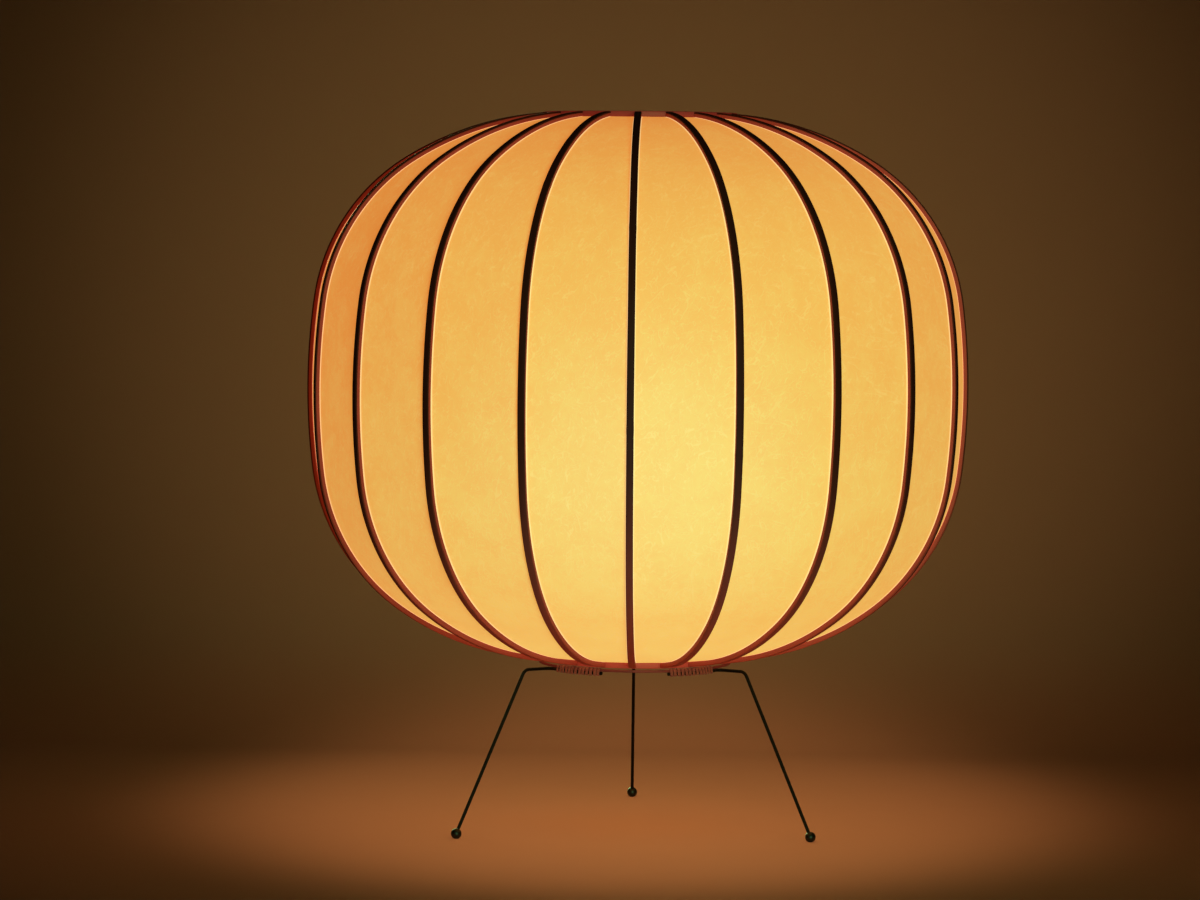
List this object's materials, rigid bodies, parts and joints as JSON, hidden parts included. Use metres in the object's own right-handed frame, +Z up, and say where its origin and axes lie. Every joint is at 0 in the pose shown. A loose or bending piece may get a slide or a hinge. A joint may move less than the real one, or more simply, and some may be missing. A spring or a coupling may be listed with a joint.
{
  "type": "paper lantern floor lamp",
  "caption": "Floor lamp with a squat round paper lantern on dark bent ribs, held between two hoops and standing low on a bent wire tripod with ball feet.",
  "frame": {"origin": "on the floor, on the axis of the shade", "axes": "+Z up along the axis of the shade; -Y is the front, where one rib lies in the middle and two legs stand to either side"},
  "size_m": [0.6, 0.6, 0.6491],
  "materials": {
    "rib": "split bamboo, stained dark brown outside, satin",
    "paper": "thin handmade mulberry paper, matt, lit from inside",
    "hoop": "bent bamboo, stained red-brown, satin",
    "leg_wire": "black lacquered steel wire, satin",
    "foot": "black moulded balls, satin",
    "lashing_cord": "waxed cotton cord",
    "zinc_steel": "zinc plated",
    "bakelite": "black moulded thermoset, satin",
    "brass": "stamped sheet",
    "bulb_metal": "bright rolled cap",
    "opal": "opal white globe, lit"
  },
  "bodies": {
    "lamp": {"rib_01": "rib", "rib_02": "rib", "rib_03": "rib", "rib_04": "rib", "rib_05": "rib", "rib_06": "rib", "rib_07": "rib", "rib_08": "rib", "rib_09": "rib", "rib_10": "rib", "rib_11": "rib", "rib_12": "rib", "rib_13": "rib", "rib_14": "rib", "rib_15": "rib", "rib_16": "rib", "rib_17": "rib", "rib_18": "rib", "rib_19": "rib", "rib_20": "rib", "paper_gore_01": "paper", "paper_gore_02": "paper", "paper_gore_03": "paper", "paper_gore_04": "paper", "paper_gore_05": "paper", "paper_gore_06": "paper", "paper_gore_07": "paper", "paper_gore_08": "paper", "paper_gore_09": "paper", "paper_gore_10": "paper", "paper_gore_11": "paper", "paper_gore_12": "paper", "paper_gore_13": "paper", "paper_gore_14": "paper", "paper_gore_15": "paper", "paper_gore_16": "paper", "paper_gore_17": "paper", "paper_gore_18": "paper", "paper_gore_19": "paper", "paper_gore_20": "paper", "top_hoop": "hoop", "bottom_hoop": "hoop", "carrier_ring": "hoop", "leg_left": "leg_wire", "leg_right": "leg_wire", "leg_rear": "leg_wire", "feet": "foot", "leg_lashings": "lashing_cord", "holder_bridge": "zinc_steel", "bridge_screws": "zinc_steel", "lock_nuts": "zinc_steel", "stem": "zinc_steel", "holder_cap": "bakelite", "holder_skirt": "bakelite", "inlet_bush": "bakelite", "screw_socket": "brass", "centre_contact": "brass"},
    "bulb_travel": {"bulb_contact": "bulb_metal"},
    "bulb": {"bulb_cap": "bulb_metal", "bulb_globe": "opal"}
  },
  "joints": [
    {"name": "bulb_unscrew", "type": "hinge", "parent": "bulb_travel", "child": "bulb", "pos_m": [0, 0, 0.3], "axis": [0, 0, 1], "range_deg": [0, 1080]},
    {"name": "bulb_rise", "type": "slide", "parent": "lamp", "child": "bulb_travel", "axis": [0, 0, 1], "range_m": [0, 0.01109]}
  ],
  "couplings": [
    {"joint": "bulb_rise", "follows": "bulb_unscrew", "m_per_rad": 0.00057773}
  ]
}
